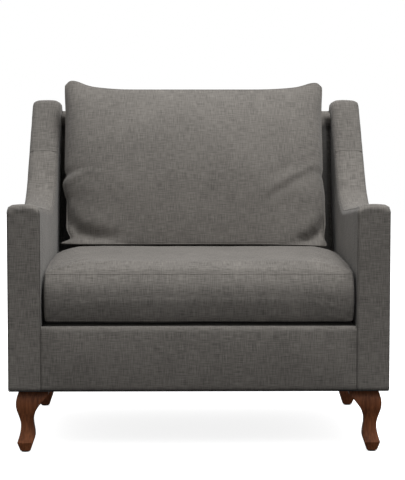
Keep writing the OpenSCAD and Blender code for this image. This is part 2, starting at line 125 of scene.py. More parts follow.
def set_points(obj, co):
    obj.data.vertices.foreach_set("co", np.asarray(co, float).ravel())
    obj.data.update()


def normals_of(obj):
    n = np.empty(len(obj.data.vertices) * 3)
    obj.data.vertex_normals.foreach_get("vector", n)
    return n.reshape(-1, 3)


def apply_modifiers(obj):
    graph = bpy.context.evaluated_depsgraph_get()
    mesh = bpy.data.meshes.new_from_object(obj.evaluated_get(graph))
    obj.modifiers.clear()
    old = obj.data
    obj.data = mesh
    bpy.data.meshes.remove(old)


def remesh(obj, voxel, smoothing=4):
    mod = obj.modifiers.new("remesh", "REMESH")
    mod.mode = "VOXEL"
    mod.voxel_size = voxel
    relax = obj.modifiers.new("relax", "SMOOTH")
    relax.factor = 0.5
    relax.iterations = smoothing
    apply_modifiers(obj)


def subdivide(obj):
    mod = obj.modifiers.new("subdivision", "SUBSURF")
    mod.levels = mod.render_levels = 1
    apply_modifiers(obj)


def loft(rings, cap=True):
    """Vertices and faces of closed rings of equal length, joined in order. cap fills the end rings."""
    count = len(rings[0])
    verts = np.concatenate(rings)
    faces = []
    for k in range(len(rings) - 1):
        a, b = k * count, (k + 1) * count
        for i in range(count):
            j = (i + 1) % count
            faces.append((a + i, a + j, b + j, b + i))
    if cap:
        faces.append(tuple(range(count - 1, -1, -1)))
        last = (len(rings) - 1) * count
        faces.append(tuple(range(last, last + count)))
    return verts, faces


def two_layers(nx, ny):
    """Faces of two grids of nx by ny points, one in front of the other, and the points on the rim."""
    grid = nx * ny
    faces = []
    for j in range(ny - 1):
        for i in range(nx - 1):
            a = j * nx + i
            faces.append((a, a + 1, a + nx + 1, a + nx))
            faces.append((grid + a, grid + a + nx, grid + a + nx + 1, grid + a + 1))
    rim = list(range(nx)) + [j * nx + nx - 1 for j in range(1, ny)]
    rim += [(ny - 1) * nx + i for i in range(nx - 2, -1, -1)] + [j * nx for j in range(ny - 2, 0, -1)]
    for a, b in zip(rim, rim[1:] + rim[:1]):
        faces.append((b, a, a + grid, b + grid))
    return faces, rim


CORD_SIDES = 6


def tube(name, path, radius, closed=False):
    """A thin round cord along a path of points."""
    path = np.asarray(path, float)
    if closed:
        ahead, behind = np.roll(path, -1, 0), np.roll(path, 1, 0)
    else:
        ahead, behind = np.vstack([path[1:], path[-1:]]), np.vstack([path[:1], path[:-1]])
    along = ahead - behind
    along /= np.linalg.norm(along, axis=1, keepdims=True)
    # Any direction that no cord follows will do to start the sections from
    hint = np.array([0.31, 0.52, 0.79])
    across = hint - along * (along @ hint)[:, None]
    for i in range(1, len(path)):
        side = across[i - 1] - along[i] * (across[i - 1] @ along[i])
        across[i] = side
        across[i] /= np.linalg.norm(side)
    across[0] /= np.linalg.norm(across[0])
    up = np.cross(along, across)
    turn = (2 * math.pi * np.arange(CORD_SIDES) / CORD_SIDES)[:, None]
    rings = [p + radius * (np.cos(turn) * a + np.sin(turn) * b) for p, a, b in zip(path, across, up)]
    if closed:
        verts, faces = loft(rings + [rings[0]], cap=False)
        keep = len(path) * CORD_SIDES
        faces = [tuple(v % keep for v in f) for f in faces]
        verts = verts[:keep]
    else:
        verts, faces = loft(rings)
    obj = new_object(name, verts, faces)
    shade_smooth(obj)
    return obj


def join(name, objects):
    """One object holding the meshes of several."""
    verts, faces, start = [], [], 0
    for obj in objects:
        verts.append(points_of(obj))
        faces += [tuple(start + v for v in p.vertices) for p in obj.data.polygons]
        start += len(obj.data.vertices)
        bpy.data.objects.remove(obj)
    merged = new_object(name, np.concatenate(verts), faces)
    shade_smooth(merged)
    return merged


def resample(path, step, closed=False):
    """Evenly spaced points along a path, about a step apart."""
    path = np.asarray(path, float)
    if closed:
        path = np.vstack([path, path[:1]])
    lengths = np.concatenate([[0], np.cumsum(np.linalg.norm(np.diff(path, axis=0), axis=1))])
    count = max(int(lengths[-1] / step), 2)
    at = np.linspace(0, lengths[-1], count + 1)
    if closed:
        at = at[:-1]
    return np.stack([np.interp(at, lengths, path[:, k]) for k in range(path.shape[1])], 1)


def filleted(corners, step):
    """Evenly spaced points on a closed outline with (a, b, radius) corners, each rounded by its radius."""
    points = []
    n = len(corners)
    for i, (a, b, radius) in enumerate(corners):
        here = np.array([a, b])
        back = np.array(corners[i - 1][:2]) - here
        ahead = np.array(corners[(i + 1) % n][:2]) - here
        back /= np.linalg.norm(back)
        ahead /= np.linalg.norm(ahead)
        half = math.acos(np.clip(back @ ahead, -1, 1)) / 2
        reach = radius / math.tan(half)
        start, end = here + back * reach, here + ahead * reach
        bisector = (back + ahead) / np.linalg.norm(back + ahead)
        centre = here + bisector * radius / math.sin(half)
        a0 = math.atan2(*(start - centre)[::-1])
        a1 = math.atan2(*(end - centre)[::-1])
        sweep = (a1 - a0 + math.pi) % (2 * math.pi) - math.pi
        steps = max(int(abs(sweep) * radius / step), 5)
        turn = a0 + sweep * np.linspace(0, 1, steps + 1)
        points.append(centre + radius * np.stack([np.cos(turn), np.sin(turn)], 1))
    return resample(np.concatenate(points), step, closed=True)


def outline_normals(outline):
    """Outward normals of a closed outline that runs anticlockwise."""
    along = np.roll(outline, -1, 0) - np.roll(outline, 1, 0)
    along /= np.linalg.norm(along, axis=1, keepdims=True)
    return np.stack([along[:, 1], -along[:, 0]], 1)


def edge_distance(points, outline):
    """Distance of each point from a closed outline."""
    a, b = outline, np.roll(outline, -1, 0)
    best = np.full(len(points), 1e9)
    for p, q in zip(a, b):
        d = q - p
        t = np.clip(((points - p) @ d) / (d @ d), 0, 1)
        best = np.minimum(best, np.linalg.norm(points - p - t[:, None] * d, axis=1))
    return best


def ripple(co, scale, seed):
    """Smooth noise from -1 to 1 at each point."""
    shift = Vector((seed * 7.3, seed * 3.1, seed * 5.7))
    return np.array([noise.noise(Vector(p) * scale + shift) for p in co])


def push_out(obj, amount):
    """Moves each point along its normal."""
    set_points(obj, points_of(obj) + normals_of(obj) * np.asarray(amount)[:, None])


CLOTH_FRAMES = 20
CLOTH_STIFFNESS = 15.0


def inflate(obj, pressure, cap, pinned):
    """Swells a closed mesh with a cloth simulation. No point moves further than cap, and those
    marked in pinned stay where they are."""
    start = points_of(obj)
    group = obj.vertex_groups.new(name="pinned")
    group.add([int(i) for i in np.nonzero(pinned)[0]], 1.0, "REPLACE")
    mod = obj.modifiers.new("cloth", "CLOTH")
    cloth = mod.settings
    cloth.quality = 5
    cloth.use_pressure = True
    cloth.uniform_pressure_force = pressure
    cloth.tension_stiffness = CLOTH_STIFFNESS
    cloth.compression_stiffness = CLOTH_STIFFNESS
    cloth.shear_stiffness = 5
    cloth.bending_stiffness = 0.5
    cloth.effector_weights.gravity = 0.0
    mod.collision_settings.use_collision = False
    cloth.vertex_group_mass = "pinned"
    scene = bpy.context.scene
    mod.point_cache.frame_start = 1
    mod.point_cache.frame_end = CLOTH_FRAMES
    for step in range(1, CLOTH_FRAMES + 1):
        scene.frame_set(step)
    graph = bpy.context.evaluated_depsgraph_get()
    moved = obj.evaluated_get(graph).to_mesh()
    end = np.empty(len(moved.vertices) * 3)
    moved.vertices.foreach_get("co", end)
    obj.evaluated_get(graph).to_mesh_clear()
    obj.modifiers.clear()
    obj.vertex_groups.clear()
    scene.frame_set(1)
    shift = end.reshape(-1, 3) - start
    length = np.linalg.norm(shift, axis=1, keepdims=True)
    shift *= np.minimum(1.0, np.reshape(cap, (-1, 1)) / np.maximum(length, 1e-9))
    set_points(obj, start + shift)


# ---------------------------------------------------------------- materials


class Nodes:
    """A new node material and short ways to add to it."""

    def __init__(self, name):
        self.material = bpy.data.materials.new(name)
        self.material.use_nodes = True
        self.tree = self.material.node_tree
        self.shader = self.tree.nodes["Principled BSDF"]
        self.place = self.add("ShaderNodeTexCoord").outputs["Object"]

    def add(self, kind, **settings):
        node = self.tree.nodes.new(kind)
        for key, value in settings.items():
            setattr(node, key, value)
        return node

    def link(self, source, target):
        self.tree.links.new(source, target)

    def noise(self, scale, stretch=(1, 1, 1), detail=2.0, shift=(0, 0, 0), source=None):
        mapping = self.add("ShaderNodeMapping")
        mapping.inputs["Scale"].default_value = [scale * s for s in stretch]
        mapping.inputs["Location"].default_value = shift
        self.link(source or self.place, mapping.inputs["Vector"])
        texture = self.add("ShaderNodeTexNoise")
        texture.inputs["Scale"].default_value = 1.0
        texture.inputs["Detail"].default_value = detail
        self.link(mapping.outputs["Vector"], texture.inputs["Vector"])
        return texture.outputs["Fac"]

    def leaned(self, vector, turn):
        """The vector turned about X."""
        rotate = self.add("ShaderNodeMapping")
        rotate.inputs["Rotation"].default_value = (turn, 0, 0)
        self.link(vector, rotate.inputs["Vector"])
        return rotate.outputs["Vector"]

    def step(self, value, steepness):
        """0 to 1 as the value passes zero."""
        clamp = self.add("ShaderNodeClamp")
        self.link(self.math("ADD", self.math("MULTIPLY", value, steepness), 0.5), clamp.inputs["Value"])
        return clamp.outputs["Result"]

    def blend(self, a, b, share):
        """a where share is 0 and b where it is 1."""
        return self.math("ADD", a, self.math("MULTIPLY", self.math("SUBTRACT", b, a), share))

    def math(self, operation, a, b=None):
        node = self.add("ShaderNodeMath", operation=operation)
        for socket, value in zip(node.inputs, (a, b)):
            if value is None:
                continue
            if isinstance(value, (int, float)):
                socket.default_value = value
            else:
                self.link(value, socket)
        return node.outputs["Value"]

    def ramp(self, value, stops):
        node = self.add("ShaderNodeValToRGB")
        for i, (at, colour) in enumerate(stops):
            element = node.color_ramp.elements[i] if i < 2 else node.color_ramp.elements.new(at)
            element.position = at
            element.color = (*colour, 1)
        self.link(value, node.inputs["Fac"])
        return node.outputs["Color"]

    def bump(self, height, strength, distance):
        node = self.add("ShaderNodeBump")
        node.inputs["Strength"].default_value = strength
        node.inputs["Distance"].default_value = distance
        self.link(height, node.inputs["Height"])
        self.link(node.outputs["Normal"], self.shader.inputs["Normal"])

    def finish(self, roughness, **sockets):
        self.shader.inputs["Roughness"].default_value = roughness
        for key, value in sockets.items():
            self.shader.inputs[key.replace("_", " ")].default_value = value
        return self.material


def scaled(colour, factor):
    return tuple(c * factor for c in colour)


# Noise scales across and along a thread, in features per metre
THREAD, SLUB = 480.0, 33.0


def woven(name, colour, turn=0.0, contrast=1.0, lower=None, painted_wing_shade=None):
    """Plain-weave linen: slubby threads both ways over each side of a piece, and a soft mottle.
    turn leans the weave back about X. lower, a height and a share of the colour, darkens the cloth
    below that height, and the last argument darkens what faces forward above its height: both are painted shade."""
    m = Nodes(name)
    normal = m.add("ShaderNodeTexCoord").outputs["Normal"]
    place = m.place
    if turn:
        place, normal = m.leaned(place, turn), m.leaned(normal, turn)

    def weave_on(flat):
        """Threads along both axes of a plane, the same all the way along the axis flat."""
        scales = []
        for long in range(3):
            if long != flat:
                scale = [THREAD] * 3
                scale[long] = SLUB
                scale[flat] = 0.0
                scales.append(scale)
        one = m.noise(1.0, scales[0], detail=1.0, source=place)
        other = m.noise(1.0, scales[1], detail=1.0, source=place, shift=(3, 1, 7))
        return m.math("MULTIPLY", m.math("ADD", one, other), 0.5)

    facing = m.add("ShaderNodeSeparateXYZ")
    m.link(normal, facing.inputs["Vector"])
    nx, ny, nz = (m.math("ABSOLUTE", facing.outputs[k]) for k in "XYZ")
    upwards = m.step(m.math("SUBTRACT", nz, m.math("MULTIPLY", ny, 2.0)), 6.0)
    weave = m.blend(weave_on(1), weave_on(2), upwards)
    sideways = m.step(m.math("SUBTRACT", nx, m.math("MAXIMUM", ny, nz)), 6.0)
    weave = m.blend(weave, weave_on(0), sideways)
    mottle = m.noise(9.0, detail=3.0)
    tone = m.math("ADD", m.math("MULTIPLY", weave, 0.85), m.math("MULTIPLY", mottle, 0.15))
    spread = 0.36 * contrast
    cloth = m.ramp(tone, [(0.36, scaled(colour, 1 - spread)), (0.64, scaled(colour, 1 + spread))])
    # Painted shade: the colour is multiplied down below a height, or on cloth that faces forward above one.
    if lower or painted_wing_shade:
        height, darker = lower or painted_wing_shade
        where = m.add("ShaderNodeSeparateXYZ")
        m.link(m.place, where.inputs["Vector"])
        share = m.step(m.math("SUBTRACT", where.outputs["Z"], height), -60.0 if lower else 60.0)
        if painted_wing_shade:
            forwards = m.step(m.math("SUBTRACT", -0.3, facing.outputs["Y"]), 8.0)
            share = m.math("MULTIPLY", share, forwards)
        mix = m.add("ShaderNodeMixRGB", blend_type="MULTIPLY")
        m.link(share, mix.inputs["Fac"])
        m.link(cloth, mix.inputs["Color1"])
        mix.inputs["Color2"].default_value = (darker, darker, darker, 1)
        cloth = mix.outputs["Color"]
    m.link(cloth, m.shader.inputs["Base Color"])
    m.bump(weave, 0.5, 0.0012)
    return m.finish(0.92, Sheen_Weight=0.12, Sheen_Roughness=0.5, Specular_IOR_Level=0.12)


def polished_wood(name, dark, light, gloss, grain_axis=2):
    """Stained wood with fine grain along one axis and broad figure across it."""
    m = Nodes(name)
    fine = [260.0] * 3
    fine[grain_axis] = 14.0
    broad = [34.0] * 3
    broad[grain_axis] = 5.0
    grain = m.noise(1.0, fine, detail=4.0)
    figure = m.noise(1.0, broad, detail=2.0, shift=(2, 4, 6))
    tone = m.math("ADD", m.math("MULTIPLY", grain, 0.55), m.math("MULTIPLY", figure, 0.45))
    m.link(m.ramp(tone, [(0.34, dark), (0.66, light)]), m.shader.inputs["Base Color"])
    m.bump(grain, 0.15, 0.0004)
    return m.finish(gloss, Coat_Weight=0.06, Coat_Roughness=0.3, Specular_IOR_Level=0.2)


def speckled(name, dark, light, scale, roughness, metallic=0.0, stretch=(1, 1, 1)):
    """A plain stuff with fine variation: foam, board, webbing, plastic or metal."""
    m = Nodes(name)
    grain = m.noise(scale, stretch, detail=3.0)
    m.link(m.ramp(grain, [(0.35, dark), (0.65, light)]), m.shader.inputs["Base Color"])
    m.bump(grain, 0.3, 0.0006)
    return m.finish(roughness, Metallic=metallic)


LINEN = (0.158, 0.147, 0.134)
fabric = woven("linen", LINEN)
fabric_tilted = woven("linen_on_pillow", LINEN, turn=BACK_RAKE, contrast=0.9)
seam_cloth = woven("linen_seam", scaled(LINEN, 0.80), contrast=0.6)
# Linen at 30% of its colour on the seat deck: painted shade for the dark gaps beside the seat cushion.
deck_painted_shade = woven("deck_painted_shade", scaled(LINEN, 0.30), contrast=0.5)
# Cloth facing forward above the wing seam is darkened to 84%: painted shade on the upper wing strip.
arm_cloth = woven("linen_on_arms", LINEN, painted_wing_shade=(WING_SEAM_Z, 0.84))
# Cloth of the tight back darkened to 30% below a set height: painted shade for the deep gap behind the pillow.
back_cloth = woven("linen_to_painted_shade", LINEN, lower=(PAINTED_SHADE_TOP_Z, 0.30))
mahogany = polished_wood("mahogany", (0.085, 0.025, 0.009), (0.260, 0.088, 0.034), 0.5)

CARRIED = {
    "frame_pine": polished_wood("pine", (0.42, 0.25, 0.10), (0.62, 0.42, 0.20), 0.6, grain_axis=0),
    "hardboard": speckled("hardboard", (0.24, 0.14, 0.06), (0.36, 0.23, 0.11), 300, 0.8),
    "foam": speckled("foam", (0.72, 0.66, 0.43), (0.84, 0.78, 0.55), 400, 0.95),
    "webbing": speckled("jute", (0.34, 0.24, 0.11), (0.52, 0.39, 0.20), 1.0, 0.9, stretch=(500, 500, 60)),
    "cambric": speckled("cambric", (0.012, 0.012, 0.013), (0.03, 0.03, 0.032), 700, 0.9),
    "plated_steel": speckled("plated_steel", (0.42, 0.42, 0.42), (0.6, 0.6, 0.6), 200, 0.35, metallic=1.0),
    "zip_metal": speckled("zip_metal", (0.36, 0.34, 0.30), (0.5, 0.47, 0.42), 300, 0.3, metallic=1.0),
    "zip_tape": speckled("zip_tape", (0.07, 0.065, 0.06), (0.14, 0.13, 0.12), 500, 0.9),
    "glide_plastic": speckled("glide_plastic", (0.02, 0.017, 0.014), (0.04, 0.034, 0.03), 500, 0.45),
    "woven_upholstery": fabric,
    "leg_mahogany": mahogany,
}


def paint_carried_nodes():
    slots = {s["node"]: s["material_slot"] for s in frame["record"]["subparts"]}
    for node, obj in frame["nodes"].items():
        obj.data.materials.clear()
        obj.data.materials.append(CARRIED[slots[node]])


def fit_out(obj, body, material, nodes=()):
    """Material, body, slot and replaced nodes of a finished piece."""
    obj.data.materials.clear()
    obj.data.materials.append(material)
    shade_smooth(obj)
    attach(obj, body)
    if nodes:
        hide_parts(*nodes)


# ---------------------------------------------------------------- camera, light and floor


def make_camera(scene):
    camera = bpy.data.objects.new("camera", bpy.data.cameras.new("camera"))
    bpy.context.collection.objects.link(camera)
    camera.data.sensor_width = 36.0
    camera.data.lens = 136.6
    camera.location = (-0.051, FRONT_Y - 4.8, 0.969)
    camera.rotation_euler = (math.radians(90 - 4.716), 0, math.radians(-0.72))
    scene.camera = camera


def make_floor():
    floor = new_object("floor", [(-9, -9, 0), (9, -9, 0), (9, 9, 0), (-9, 9, 0)], [(0, 1, 2, 3)])
    pale = Nodes("pale_floor")
    pale.link(
        pale.ramp(pale.noise(0.8), [(0.3, (0.90, 0.90, 0.90)), (0.7, (0.93, 0.93, 0.93))]),
        pale.shader.inputs["Base Color"],
    )
    pale.shader.inputs["Emission Color"].default_value = (1, 1, 1, 1)
    floor.data.materials.append(pale.finish(0.8, Emission_Strength=0.84, Specular_IOR_Level=0.0))
    floor.visible_diffuse = False
    floor.visible_glossy = False


def make_lights():
    target = Vector((0, 0, 0.5))
    for name, place, size, power in (
        ("key_above", (0.9, -0.80, 4.0), 1.8, 100),
        ("fill_front", (1.5, -3.7, 3.3), 1.6, 30),
        ("fill_rear", (-1.6, 4.2, 2.4), 2.0, 16),
    ):
        light = bpy.data.objects.new(name, bpy.data.lights.new(name, "AREA"))
        light.data.shape = "DISK"
        light.data.size = size
        light.data.energy = power
        light.location = place
        light.rotation_euler = (target - Vector(place)).to_track_quat("-Z", "Y").to_euler()
        bpy.context.collection.objects.link(light)


def make_world(scene):
    """White to the camera. It lights the chair from a sky that is dark below and bright overhead."""
    world = bpy.data.worlds.new("studio")
    scene.world = world
    world.use_nodes = True
    nodes, links = world.node_tree.nodes, world.node_tree.links
    nodes.clear()
    output = nodes.new("ShaderNodeOutputWorld")
    split = nodes.new("ShaderNodeMixShader")
    path = nodes.new("ShaderNodeLightPath")
    white = nodes.new("ShaderNodeBackground")
    white.inputs["Strength"].default_value = 1.0
    white.inputs["Color"].default_value = (1, 1, 1, 1)
    sky = nodes.new("ShaderNodeBackground")
    sky.inputs["Strength"].default_value = 0.95
    place = nodes.new("ShaderNodeTexCoord")
    height = nodes.new("ShaderNodeSeparateXYZ")
    half = nodes.new("ShaderNodeMath")
    half.operation = "MULTIPLY_ADD"
    half.inputs[1].default_value = 0.5
    half.inputs[2].default_value = 0.5
    ramp = nodes.new("ShaderNodeValToRGB")
    for i, (at, level) in enumerate(((0.0, 0.02), (0.5, 0.22), (1.0, 1.0))):
        element = ramp.color_ramp.elements[i] if i < 2 else ramp.color_ramp.elements.new(at)
        element.position = at
        element.color = (level, level, level, 1)
    for source, target in (
        (place.outputs["Generated"], height.inputs["Vector"]),
        (height.outputs["Z"], half.inputs[0]),
        (half.outputs["Value"], ramp.inputs["Fac"]),
        (ramp.outputs["Color"], sky.inputs["Color"]),
        (path.outputs["Is Camera Ray"], split.inputs["Fac"]),
        (sky.outputs["Background"], split.inputs[1]),
        (white.outputs["Background"], split.inputs[2]),
        (split.outputs["Shader"], output.inputs["Surface"]),
    ):
        links.new(source, target)


def make_stage():
    scene = bpy.context.scene
    scene.view_settings.view_transform = "Standard"
    make_camera(scene)
    make_floor()
    make_lights()
    make_world(scene)


# ---------------------------------------------------------------- fixed upholstery


def slab(outline, x0, x1, edges, crown, step=0.008):
    """A padded slab across X, from x0 to x1. edges holds the rounding radius of the outline at
    each end, and crown how far the slab narrows at each outline point from its middle to its ends."""
    normals = outline_normals(outline)
    ones = np.ones(len(outline))
    middle, half = (x0 + x1) / 2, (x1 - x0) / 2

    def ring(x, inset):
        place = outline - normals * inset[:, None]
        return np.column_stack([x * ones, place])

    turns = np.linspace(0, math.pi / 2, 6)[:-1]
    near, far = (np.asarray(e) * ones for e in edges)
    rings = [ring(x0 + near * (1 - math.cos(t)), crown + near * (1 - math.sin(t))) for t in turns]
    a, b = x0 + near, x1 - far
    for t in np.linspace(0, 1, max(int((x1 - x0) / step), 9)):
        x = a + (b - a) * t
        rings.append(ring(x, crown * np.abs((x - middle) / half) ** 2))
    rings += [ring(x1 - far * (1 - math.cos(t)), crown + far * (1 - math.sin(t))) for t in turns[::-1]]
    return loft(rings)


def arm_outline():
    elbow_z = ARM_FRONT_Z - ELBOW_BEHIND_FRONT * math.tan(ARM_FALL)
    wing_y = FRONT_Y + ELBOW_BEHIND_FRONT + (WING_Z - elbow_z) / math.tan(WING_SLOPE)
    corners = [
        (FRONT_Y, BASE_Z, 0.007),
        (rear_y(BASE_Z) - 0.002, BASE_Z, 0.007),
        (rear_y(WING_Z) - 0.002, WING_Z, 0.016),
        (wing_y, WING_Z, WING_RADIUS),
        (FRONT_Y + ELBOW_BEHIND_FRONT, elbow_z, SWEEP_RADIUS),
        (FRONT_Y, ARM_FRONT_Z, 0.018),
    ]
    return filleted(corners, 0.006)


def padded_arm_outline():
    """The arm outline with its padding, and how much each of its points faces upwards."""
    outline = arm_outline()
    normals = outline_normals(outline)
    upward = smooth((normals[:, 1] - 0.15) / 0.4)
    return outline + normals * (CROWN_PROUD * upward)[:, None], upward


# How far the cloth of an arm falls from the crown of its top to each side, and how round its
# edges are: the least radius, and what its upper outer and upper inner edges have beyond that
ARM_CROWN = 0.004
ARM_EDGE = 0.003
OUTER_ROUND, INNER_ROUND = 0.009, 0.015


def arm_cover(side, name):
    """One arm and wing with all four of its covers. side is -1 for the left arm and 1 for the right."""
    outline, upward = padded_arm_outline()
    outer_edge = ARM_EDGE + OUTER_ROUND * upward
    inner_edge = ARM_EDGE + INNER_ROUND * upward
    edges = (outer_edge, inner_edge) if side < 0 else (inner_edge, outer_edge)
    x0, x1 = sorted((side * HALF_W, side * ARM_INNER_X))
    verts, faces = slab(outline, x0, x1, edges, ARM_CROWN * upward)
    obj = new_object(name, verts, faces)
    remesh(obj, 0.0042, smoothing=2)
    co = points_of(obj)
    normal = normals_of(obj)
    depth = edge_distance(co[:, 1:], outline)
    puff = smooth(depth / 0.12)
    flat = np.abs(normal[:, 0])
    amount = puff * flat * 0.002 + 0.0010 * ripple(co, 9.0, 1 + side) * flat * puff
    amount += 0.0004 * ripple(co, 24.0, 4 + side)
    push_out(obj, amount)
    return obj


def arm_seams(side, name):
    """Sewn edges: where the side panels meet the top strip, and a join across the wing strip."""
    outline, upward = padded_arm_outline()
    normals = outline_normals(outline)
    cords = []
    for x_end, reach in ((side * HALF_W, OUTER_ROUND), (side * ARM_INNER_X, INNER_ROUND)):
        edge = ARM_EDGE + reach * upward
        inset = ARM_CROWN * upward + edge * (1 - math.sqrt(0.5)) + 0.0004
        path = outline - normals * inset[:, None]
        inward = -side if abs(x_end) == HALF_W else side
        x = x_end + inward * edge * (1 - math.sqrt(0.5))
        cords.append(tube("cord", np.column_stack([x, path]), 0.0008, closed=True))
    level = np.nonzero((upward > 0.5) & (outline[:, 1] > WING_SEAM_Z - 0.2))[0]
    here = level[np.argmin(np.abs(outline[level, 1] - WING_SEAM_Z))]
    us = np.linspace(-0.93, 0.93, 24)
    half = (HALF_W - ARM_INNER_X) / 2
    xs = side * (HALF_W + ARM_INNER_X) / 2 + us * half
    edge = ARM_EDGE + OUTER_ROUND
    fall = ARM_CROWN * us ** 2 + np.clip(np.abs(us) * half - (half - edge), 0, None) ** 2 / edge * 0.5
    across = outline[here] - normals[here] * fall[:, None]
    cords.append(tube("cord", np.column_stack([xs, across]), 0.0007))
    return join(name, cords)


def build_arms():
    parts = ["inside_cover", "outside_cover", "front_panel", "top_strip", "padding", "outer_board"]
    for side, label in ((-1, "left"), (1, "right")):
        arm = arm_cover(side, f"{label}_arm_upholstery")
        nodes = [f"{label}_arm_{part}" for part in parts]
        fit_out(arm, "chair_frame", arm_cloth, nodes)
        seams = arm_seams(side, f"{label}_arm_seams")
        fit_out(seams, "chair_frame", seam_cloth)


def build_inside_back():
    """The tight back behind the pillow. It is tucked in deeply beside each wing."""
    top = BACK_HI.z
    corners = [
        (inner_back_y(DECK_HI.z - 0.01), DECK_HI.z - 0.01, 0.01),
        (rear_y(DECK_HI.z) - 0.005, DECK_HI.z - 0.01, 0.01),
        (rear_y(top) - 0.003, top, 0.009),
        (inner_back_y(top), top, 0.03),
    ]
    outline = filleted(corners, 0.008)
    crown = np.full(len(outline), 0.003)
    inner = ARM_INNER_X - 0.0005
    verts, faces = slab(outline, -inner, inner, (0.004, 0.004), crown, step=0.01)
    obj = new_object("inside_back", verts, faces)
    remesh(obj, 0.007)
    co = points_of(obj)
    depth_below_top = top - co[:, 2]
    near_wing = np.exp(-(((ARM_INNER_X - np.abs(co[:, 0])) / 0.022) ** 2))
    facing = np.clip(-normals_of(obj)[:, 1], 0, 1)
    tuck = 0.055 * near_wing * facing * smooth((depth_below_top - 0.012) / 0.05)
    co[:, 1] += tuck
    set_points(obj, co)
    push_out(obj, 0.0012 * ripple(points_of(obj), 8.0, 11))
    nodes = ["inside_back_cover", "back_padding"]
    # Its cloth is painted darker low down: painted shade in the gap behind the pillow.
    fit_out(obj, "chair_frame", back_cloth, nodes)


def build_front_border():
    """Cloth over the front rail, bowed forward a little between the arms."""
    top = DECK_HI.z - 0.0050
    low = BASE_Z + 0.0015
    corners = [
        (FRONT_Y + 0.0005, low, 0.006),
        (FRONT_Y + 0.03, low, 0.004),
        (FRONT_Y + 0.03, top - 0.005, 0.006),
        (FRONT_Y + 0.0005, top, 0.011),
    ]
    outline = filleted(corners, 0.004)
    half = ARM_INNER_X + 0.0022
    crown = np.full(len(outline), 0.0004)
    verts, faces = slab(outline, -half, half, (0.002, 0.002), crown, step=0.02)
    obj = new_object("front_border_cover", verts, faces)
    remesh(obj, 0.0042, smoothing=1)
    co = points_of(obj)
    height = np.clip((co[:, 2] - low) / (top - low), 0, 1)
    side = smooth((half - np.abs(co[:, 0])) / 0.05)
    facing = np.clip(-normals_of(obj)[:, 1], 0, 1)
    bow = 0.0065 * side * np.sin(height * math.pi) ** 0.8
    co[:, 1] -= facing * (bow + 0.0009 * side * ripple(co, 10.0, 21))
    set_points(obj, co)
    nodes = ["front_border", "front_rail_padding"]
    fit_out(obj, "chair_frame", fabric, nodes)


def build_deck():
    """The padded platform under the seat cushion. It starts behind the front border."""
    front, low = FRONT_Y + 0.028, DECK_HI.z - 0.024
    corners = [
        (front, low, 0.005),
        (DECK_HI.y, low, 0.005),
        (DECK_HI.y, DECK_HI.z, 0.008),
        (front, DECK_HI.z, 0.014),
    ]
    outline = filleted(corners, 0.008)
    inner = ARM_INNER_X - 0.0008
    crown = np.full(len(outline), 0.0008)
    verts, faces = slab(outline, -inner, inner, (0.004, 0.004), crown, step=0.03)
    obj = new_object("seat_deck", verts, faces)
    remesh(obj, 0.009)
    co = points_of(obj)
    push_out(obj, -0.001 + 0.001 * ripple(co, 7.0, 31))
    # The deck's dark cloth is painted shade for the gaps beside the cushion.
    fit_out(obj, "chair_frame", deck_painted_shade, ["deck_cloth", "deck_pad"])


def build_outside_back():
    """The outer back panel: taut cloth that steps up behind each wing."""
    inset, step, edge = 0.004, 0.001, 0.012
    xs = np.concatenate([
        np.linspace(-HALF_W + inset, -ARM_INNER_X - step, 12),
        np.linspace(-ARM_INNER_X + step, ARM_INNER_X - step, 90),
        np.linspace(ARM_INNER_X + step, HALF_W - inset, 12),
    ])
    rows = 80
    outer, inner = [], []
    for x in xs:
        top = (WING_Z - 0.012) if abs(x) > ARM_INNER_X else (BACK_HI.z - 0.003)
        z = np.linspace(BASE_Z + 0.003, top, rows)
        side = min((HALF_W - inset - abs(x)) / edge, 1.0)
        rise = np.minimum(np.minimum((z - z[0]) / edge, (top - z) / edge), side)
        y = np.array([rear_y(h) for h in z]) - 0.003 + 0.0035 * smooth(rise)
        bow = 0.003 * math.cos(x / HALF_W * math.pi / 2) * np.sin((z - z[0]) / (top - z[0]) * math.pi)
        outer.append(np.column_stack([np.full(rows, x), y + bow, z]))
        inner.append(np.column_stack([np.full(rows, x), y - 0.006, z]))
    rings = [np.concatenate([a, b[::-1]]) for a, b in zip(outer, inner)]
    verts, faces = loft(rings)
    obj = new_object("outside_back", verts, faces)
    push_out(obj, 0.0008 * ripple(points_of(obj), 9.0, 41))
    nodes = ["outside_back_cover", "outer_back_board"]
    fit_out(obj, "chair_frame", fabric, nodes)


def build_dust_cover():
    """Thin cloth tacked under the frame, sagging a little between the rails."""
    lo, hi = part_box("dust_cover")
    nx, ny = 50, 40
    thickness, sag = 0.001, 0.005
    verts = []
    for z in (lo.z, lo.z + thickness):
        for y in np.linspace(lo.y, hi.y, ny):
            v = math.sin((y - lo.y) / (hi.y - lo.y) * math.pi)
            for x in np.linspace(lo.x, hi.x, nx):
                u = math.sin((x - lo.x) / (hi.x - lo.x) * math.pi)
                verts.append((x, y, z - sag * (u * v) ** 0.6))
    faces, _ = two_layers(nx, ny)
    obj = new_object("dust_cover_cloth", verts, [f[::-1] for f in faces])
    fit_out(obj, "chair_frame", CARRIED["cambric"], ["dust_cover"])


# ---------------------------------------------------------------- seat cushion

# The top seam lies this far below the CAD cushion's crown, and the visual crown this far above it
SEAM_DROP = 0.0190
CUSHION_CROWN = 0.0315
SIDE_RISE = 0.010
# The front border leans back at its foot and at its top seam, fading out along the sides
LEAN_LOW, LEAN_TOP = 0.014, 0.021
LEAN_REACH = 0.09
# Rings of the top before it is crowned: inset, height above the seam, lean
TOP_RINGS = ((0.004, 0.004, 0.020), (0.010, 0.0075, 0.021), (0.026, 0.0105, 0.022))


def side_lift(across, along):
    """Rise of the side borders behind the front corners. across runs from 0 in the middle to 1 at
    a side, and along from 0 at the front to 1 at the rear."""
    return SIDE_RISE * across ** 3 * smooth(along / 0.35) * (1 - smooth((along - 0.7) / 0.3))


